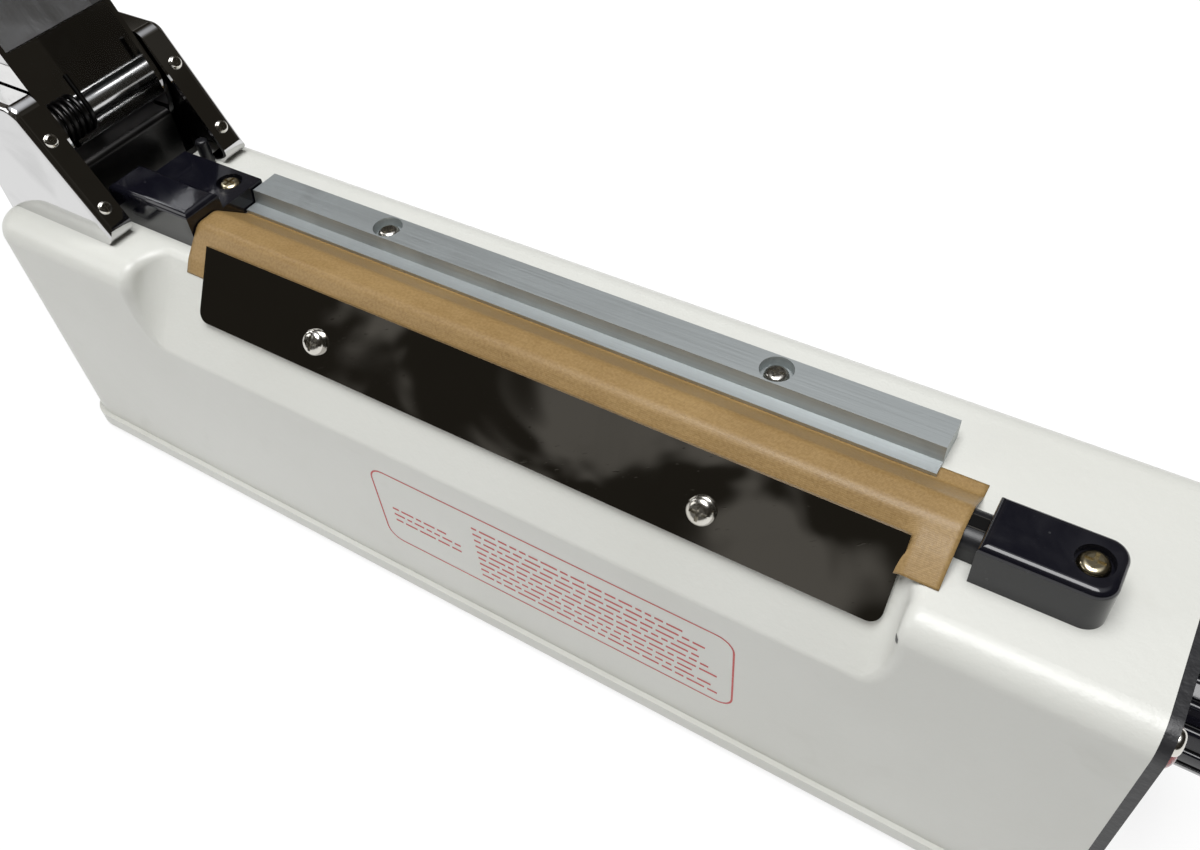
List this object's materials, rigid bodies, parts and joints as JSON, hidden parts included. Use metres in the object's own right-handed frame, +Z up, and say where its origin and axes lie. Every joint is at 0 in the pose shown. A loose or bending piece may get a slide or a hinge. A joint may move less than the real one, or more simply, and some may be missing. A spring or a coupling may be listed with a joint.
{
  "type": "impulse heat sealer",
  "caption": "Hand impulse heat sealer: white painted housing, chrome press arm on a sprung hinge, PTFE-covered seal bar, clamp strip, front guard and timer knob.",
  "frame": {"origin": "on the table plane, under the middle of the housing", "axes": "+X along the seal towards the timer end, +Y to the back, +Z up"},
  "size_m": [0.5023, 0.0785, 0.4143],
  "materials": {
    "white_paint": "fine textured powder coat",
    "black_paint": "satin black",
    "chrome_plate": "mirror chrome",
    "mirror_steel": "polished stainless",
    "bare_aluminium": "extruded, lightly brushed",
    "zinc_steel": "zinc plated",
    "bright_steel": "ground bright",
    "screw_steel": "nickel plated",
    "brass": "yellow passivated",
    "nichrome": "rolled ribbon",
    "gloss_black": "moulded gloss",
    "matte_black": "moulded satin",
    "dial_print": "printed disc",
    "ptfe_fabric": "coated glass cloth",
    "glass_tape": "adhesive tape",
    "silicone": "cast silicone",
    "black_rubber": "moulded rubber",
    "red_lens": "clear red",
    "lamp_body": "white plastic",
    "laminations": "varnished laminations",
    "winding": "enamelled copper under tape",
    "circuit_board": "solder mask",
    "nylon": "natural nylon",
    "capacitor_sleeve": "shrunk sleeve",
    "pot_can": "pressed can"
  },
  "bodies": {
    "base": {"base_plate": "white_paint", "base_screws": "screw_steel", "board_standoffs": "nylon", "bracket_screws": "screw_steel", "clamp_strip": "bare_aluminium", "clamp_strip_screws": "screw_steel", "cord_inlet": "black_rubber", "dial_plate": "dial_print", "end_plate": "black_paint", "end_plate_screws": "screw_steel", "feet_screws": "screw_steel", "front_guard": "mirror_steel", "front_guard_screws": "screw_steel", "fuse_cap": "matte_black", "fuse_holder": "matte_black", "heating_element": "nichrome", "hinge_bracket": "zinc_steel", "hinge_pin": "bright_steel", "hinge_post_far": "chrome_plate", "hinge_post_near": "chrome_plate", "housing": "white_paint", "indicator_lamp": "lamp_body", "insulation_tape": "glass_tape", "lamp_lens": "red_lens", "left_terminal_block": "gloss_black", "micro_switch": "matte_black", "pin_clips": "zinc_steel", "post_screws": "screw_steel", "pot_nut": "bright_steel", "potentiometer": "pot_can", "ptfe_cloth": "ptfe_fabric", "return_spring": "bright_steel", "right_terminal_block": "gloss_black", "rubber_feet": "black_rubber", "seal_bar": "matte_black", "switch_bracket": "zinc_steel", "terminal_screws": "brass", "timer_board": "circuit_board", "timer_capacitor": "capacitor_sleeve", "timer_relay": "matte_black", "transformer_coil": "winding", "transformer_core": "laminations", "transformer_screws": "screw_steel", "transformer_strap": "zinc_steel"},
    "arm": {"arm_channel": "chrome_plate", "press_carrier": "bare_aluminium", "carrier_screws": "screw_steel", "press_bar": "bare_aluminium", "press_bar_screws": "screw_steel", "silicone_strip": "silicone", "arm_grip": "gloss_black", "grip_screws": "screw_steel"},
    "timer_dial_knob": {"timer_knob": "gloss_black", "pot_shaft": "bright_steel"},
    "push_rod": {"switch_push_rod": "matte_black"}
  },
  "joints": [
    {"name": "arm_hinge", "type": "hinge", "parent": "base", "child": "arm", "pos_m": [-0.153, 0.0018, 0.1146], "axis": [0, 1, 0], "range_deg": [0, 116], "stiffness_Nm_per_rad": 1, "deforming": ["return_spring"]},
    {"name": "knob_turn", "type": "hinge", "parent": "base", "child": "timer_dial_knob", "pos_m": [0.1764, 0.004, 0.052], "axis": [-1, 0, 0], "range_deg": [-135, 135]},
    {"name": "rod_press", "type": "slide", "parent": "base", "child": "push_rod", "axis": [0, 0, 1], "range_m": [-0.0026, 0]}
  ],
  "couplings": [
    {"joint": "rod_press", "follows": "arm_hinge", "m_per_rad": -0.0012348}
  ]
}
